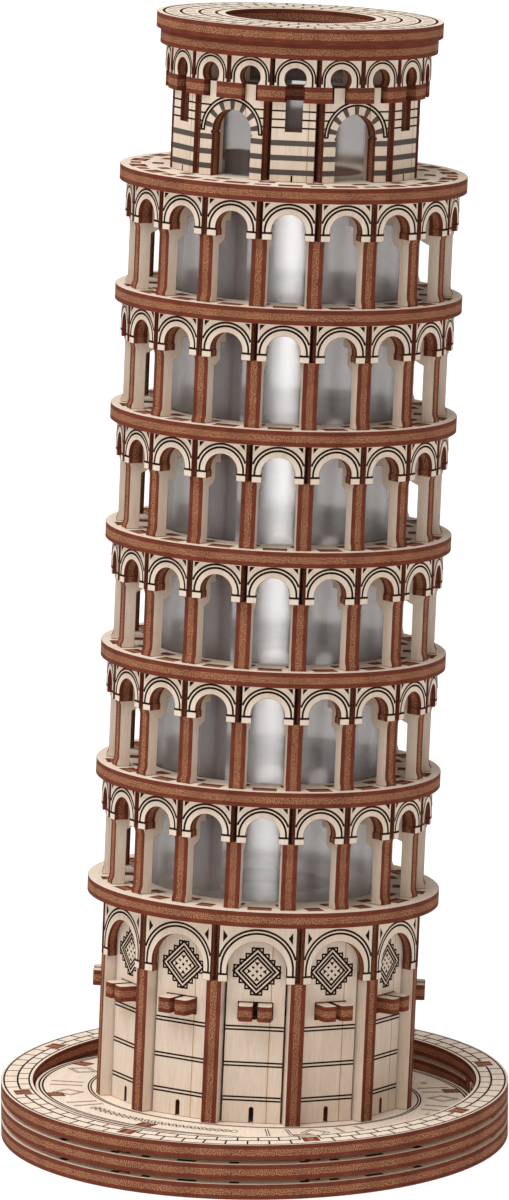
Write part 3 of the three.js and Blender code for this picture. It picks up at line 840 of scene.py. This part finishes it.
def door_wall():
    half, door, springing, top = 9.35, 5.75, 11.7, BATTLEMENT_BOTTOM - SNUG
    tab_top = BATTLEMENT_BOTTOM + SHEET - 0.1
    nick = [(-door, springing - 0.9), (-door - 0.4, springing - 0.6), (-door - 0.4, springing - 0.2),
            (-door, springing)]
    outline = ([(-half, SNUG), (-door, SNUG)] + nick + arc(door, 180, 0, 26, 0, springing)[1:-1]
               + mirrored(nick) + [(door, SNUG), (half, SNUG), (half, top)])
    for centre in (5.25, -5.25):
        left, right = centre - 1.6, centre + 1.6
        outline += [(right, top), (right, tab_top), (left, tab_top), (left, top)]
    outline.append((-half, top))
    marks = []
    for radius in (9.05, 8.2):
        reach = math.degrees(math.asin(min(1, (BATTLEMENT_BOTTOM - 0.1 - springing) / radius)))
        spans = [(180, 0)] if radius < BATTLEMENT_BOTTOM - springing else [(180, 180 - reach), (reach, 0)]
        for start, end in spans:
            marks.append(engraved_line(arc(radius, start, end, 28, 0, springing), BOLD))
    for side in (-1, 1):
        marks.append(engraved_line([(side * 8.0, springing), (side * 9.25, springing)], FINE))
    for turn in (-78, -52, -26, 0, 26, 52, 78):
        a0, a1 = 90 - turn - 5.2, 90 - turn + 5.2
        voussoir = arc(8.1, a0, a1, 4, 0, springing) + arc(5.85, a1, a0, 4, 0, springing)
        marks.append(engraved_patch(voussoir, finish=HATCHED))
    for h in COURSES:
        for side in (-1, 1):
            marks.append(belt(*sorted((side * (door + 0.06), side * (half - 0.03))), h))
    for h in JOINTS:
        inner = math.sqrt(max(0, 9.2 ** 2 - (h - springing) ** 2))
        if inner < half - 0.3:
            for side in (-1, 1):
                marks.append(engraved_line([(side * inner, h), (side * (half - 0.03), h)], THIN))
    return together([cut_sheet(outline, face=VEINED), *marks])


slit_plate, door_plate = slit_wall(), door_wall()
for i in range(6):
    slit_place = upright(SLIT_WALL_FRONT, 60 * i, FLOOR_TOP)
    door_place = upright(DOOR_WALL_FRONT, 60 * i + 30, FLOOR_TOP)
    make_piece(f"belfry_slit_plate_{i + 1}", [placed(slit_plate, slit_place, across=0)],
               [f"belfry_slit_wall_{i + 1}"], LEANING)
    make_piece(f"belfry_door_plate_{i + 1}", [placed(door_plate, door_place, across=0)],
               [f"belfry_door_wall_{i + 1}"], LEANING)
make_piece("belfry_film", [tube(BELFRY_TUBE_RADIUS, FLOOR_TOP + 0.05, FLOOR_TOP + 24.45)],
           ["belfry_tube"], LEANING, matt_film)

# ---- battlement and its ribs ---------------------------------------------------------------------
# A ring notched like a battlement lies on the walls and on twelve slim ribs that stand between them.
# Door tabs fill some notches, and light shows through the rest. It is cut from the same plywood.
BATTLEMENT_RADIUS, BATTLEMENT_BORE, NOTCH_INNER = 34.1, 25.9, 27.5


def battlement():
    loop = []
    for angle in gallery_bays:
        half = 2.5 if angle % 60 == 0 else 2.2
        edge = -math.sqrt(BATTLEMENT_RADIUS ** 2 - half * half)
        notch = [(-half, edge), (-half, -NOTCH_INNER), (half, -NOTCH_INNER), (half, edge)]
        loop += [turned(x, y, angle) for x, y in notch]
        start = math.degrees(math.asin(half / BATTLEMENT_RADIUS))
        following = 2.5 if (angle + 20) % 60 == 0 else 2.2
        end = 20 - math.degrees(math.asin(following / BATTLEMENT_RADIUS))
        loop += [turned(0, -BATTLEMENT_RADIUS, angle + t) for t in np.linspace(start, end, 8)[1:-1]]
    return cut_sheet(loop, [circle(BATTLEMENT_BORE, 72)])


make_piece("battlement", [placed(battlement(), lying(FLOOR_TOP + BATTLEMENT_BOTTOM), vary=False)],
           ["battlement_ring"], LEANING)
inner, outer, top = BATTLEMENT_BORE, 28.4, BATTLEMENT_BOTTOM - SNUG
rib = cut_sheet([(inner, SNUG), (outer, SNUG), (outer, top), (inner, top)])
make_piece("battlement_ribs",
           [placed(rib, radial(60 * i + side * 11.4, FLOOR_TOP)) for i in range(6) for side in (-1, 1)],
           ["battlement_ring"], LEANING)

# ---- small arcade --------------------------------------------------------------------------------
# Eighteen small arch plates of thinner plywood stand on the battlement, in front of short posts and
# under the roof. Each has a horseshoe opening and is engraved with a double moulding round it.
SMALL_BOTTOM, ROOF_BOTTOM, SMALL_SHEET, SMALL_ARCH_FRONT = 24.56, 31.7, 3.2, 33.9


def small_arch():
    half, opening, centre, on = 5.35, 2.8, 26.5, SMALL_SHEET
    top = ROOF_BOTTOM - SNUG
    dip = math.degrees(math.asin((centre - SMALL_BOTTOM) / opening)) - 0.01
    outline = ([(-half, SMALL_BOTTOM)] + arc(opening, 180 + dip, -dip, 24, 0, centre)
               + [(half, SMALL_BOTTOM), (half, top), (-half, top)])
    foot, halfway = SMALL_BOTTOM + 0.1, SMALL_BOTTOM + 0.9
    moulding = [(-4.4, foot)] + arc(4.4, 180, 0, 24, 0, centre) + [(4.4, foot)]
    left = [(-5.1, halfway)] + arc(5.1, 180, 90 + 0.01, 14, 0, centre)
    right = arc(5.1, 90 - 0.01, 0, 14, 0, centre) + [(5.1, halfway)]
    marks = [engraved_line(moulding, LINE, on=on), engraved_line(left, FINE, on=on),
             engraved_line(right, FINE, on=on)]
    return together([cut_sheet(outline, thickness=SMALL_SHEET), *marks])


plate = small_arch()
inner, outer, top = 27.2, 31.05, ROOF_BOTTOM - SNUG
short_post = cut_sheet([(inner, SMALL_BOTTOM), (outer, SMALL_BOTTOM), (outer, top), (inner, top)])
make_piece("small_arch_plates",
           [placed(plate, upright(SMALL_ARCH_FRONT, a, FLOOR_TOP, SMALL_SHEET)) for a in gallery_bays],
           ["belfry_arcade"], LEANING)
make_piece("small_arch_posts", [placed(short_post, radial(a + 10, FLOOR_TOP)) for a in gallery_bays],
           ["belfry_arcade"], LEANING)

# ---- roof ----------------------------------------------------------------------------------------
# Two stacked rings of plywood close the top and leave its middle open, the upper one a little wider.
# It is engraved with four circles and three rows of short radial strokes, and glued to the lower one.
ROOF_HOLE, LOWER_ROOF, UPPER_ROOF = 19.4, 35.9, 37.05


def roof_top():
    marks = [engraved_line(circle(r, 144), 0.7, closed=True) for r in (35.3, 30.9, 26.1, 21.8)]
    for inner, outer, count, shift in ((31.8, 34.4, 48, 0), (27.2, 29.9, 36, 0.5), (22.9, 25.2, 30, 0)):
        for i in range(count):
            a = 360 * (i + shift) / count
            marks.append(engraved_line([turned(0, -inner, a), turned(0, -outer, a)], 0.55))
    return together([cut_sheet(circle(UPPER_ROOF, 180), [circle(ROOF_HOLE, 120)]), *marks])


lower_ring = cut_sheet(circle(LOWER_ROOF, 180), [circle(ROOF_HOLE, 120)])
make_piece("roof_ring_lower", [placed(lower_ring, lying(FLOOR_TOP + ROOF_BOTTOM))],
           ["roof_lower_ring"], LEANING)
upper_bottom = FLOOR_TOP + ROOF_BOTTOM + SHEET + 0.05
make_piece("roof_ring_upper", [placed(roof_top(), lying(upper_bottom), vary=False)],
           ["roof_upper_ring"], LEANING)

# ---- studio --------------------------------------------------------------------------------------
# The model stands on a plain white floor in an even white room, with one broad soft lamp from the
# upper left and a low card in front for the gloss on the film. The camera looks slightly down from afar.


def floor_shade(nodes, wire, skin):
    skin.inputs["Base Color"].default_value = (0.2, 0.2, 0.2, 1)
    skin.inputs["Roughness"].default_value = 0.9
    skin.inputs["Emission Color"].default_value = (1, 1, 1, 1)
    skin.inputs["Emission Strength"].default_value = 0.85


floor_mesh = bpy.data.meshes.new("studio_floor")
floor_corners = [(x, y, -0.0002) for x, y in ((-15, -15), (15, -15), (15, 15), (-15, 15))]
floor_mesh.from_pydata(floor_corners, [], [(0, 1, 2, 3)])
floor_mesh.materials.append(material("white floor", floor_shade))
studio_floor = bpy.data.objects.new("studio_floor", floor_mesh)
bpy.context.scene.collection.objects.link(studio_floor)

world = bpy.data.worlds.new("white room")
world.use_nodes = True
world.node_tree.nodes["Background"].inputs["Color"].default_value = (1, 1, 1, 1)
world.node_tree.nodes["Background"].inputs["Strength"].default_value = 0.42
bpy.context.scene.world = world

lamp = bpy.data.lights.new("soft key", "SUN")
lamp.energy, lamp.angle = 3.2, math.radians(55)
lamp.color = (0.93, 0.97, 1.0)
key = bpy.data.objects.new("soft key", lamp)
key.rotation_euler = Vector((0.70, 0.50, -2.3)).to_track_quat("-Z", "Y").to_euler()
bpy.context.scene.collection.objects.link(key)

card = bpy.data.lights.new("gloss card", "AREA")
card.shape, card.size, card.size_y, card.energy = "RECTANGLE", 0.15, 0.34, 4.5
gloss = bpy.data.objects.new("gloss card", card)
gloss.location = (0.06, -1.0, 0.18)
gloss.rotation_euler = (Vector((0, 0, 0.16)) - gloss.location).to_track_quat("-Z", "Y").to_euler()
gloss.visible_diffuse = False
bpy.context.scene.collection.objects.link(gloss)

TARGET, DISTANCE, CAMERA_TURN, CAMERA_RISE = Vector((0, 0, 0.14273)), 2.333, 1.6, 11.946
lens = bpy.data.cameras.new("camera")
lens.sensor_width, lens.lens = 36.0, 269.523
camera = bpy.data.objects.new("camera", lens)
turn, rise = math.radians(CAMERA_TURN), math.radians(CAMERA_RISE)
away = Vector((math.sin(turn) * math.cos(rise), -math.cos(turn) * math.cos(rise), math.sin(rise)))
camera.location = TARGET + DISTANCE * away
camera.rotation_mode = "QUATERNION"
camera.rotation_quaternion = away.to_track_quat("Z", "Y")
bpy.context.scene.collection.objects.link(camera)
bpy.context.scene.camera = camera
bpy.context.scene.view_settings.view_transform = "Standard"
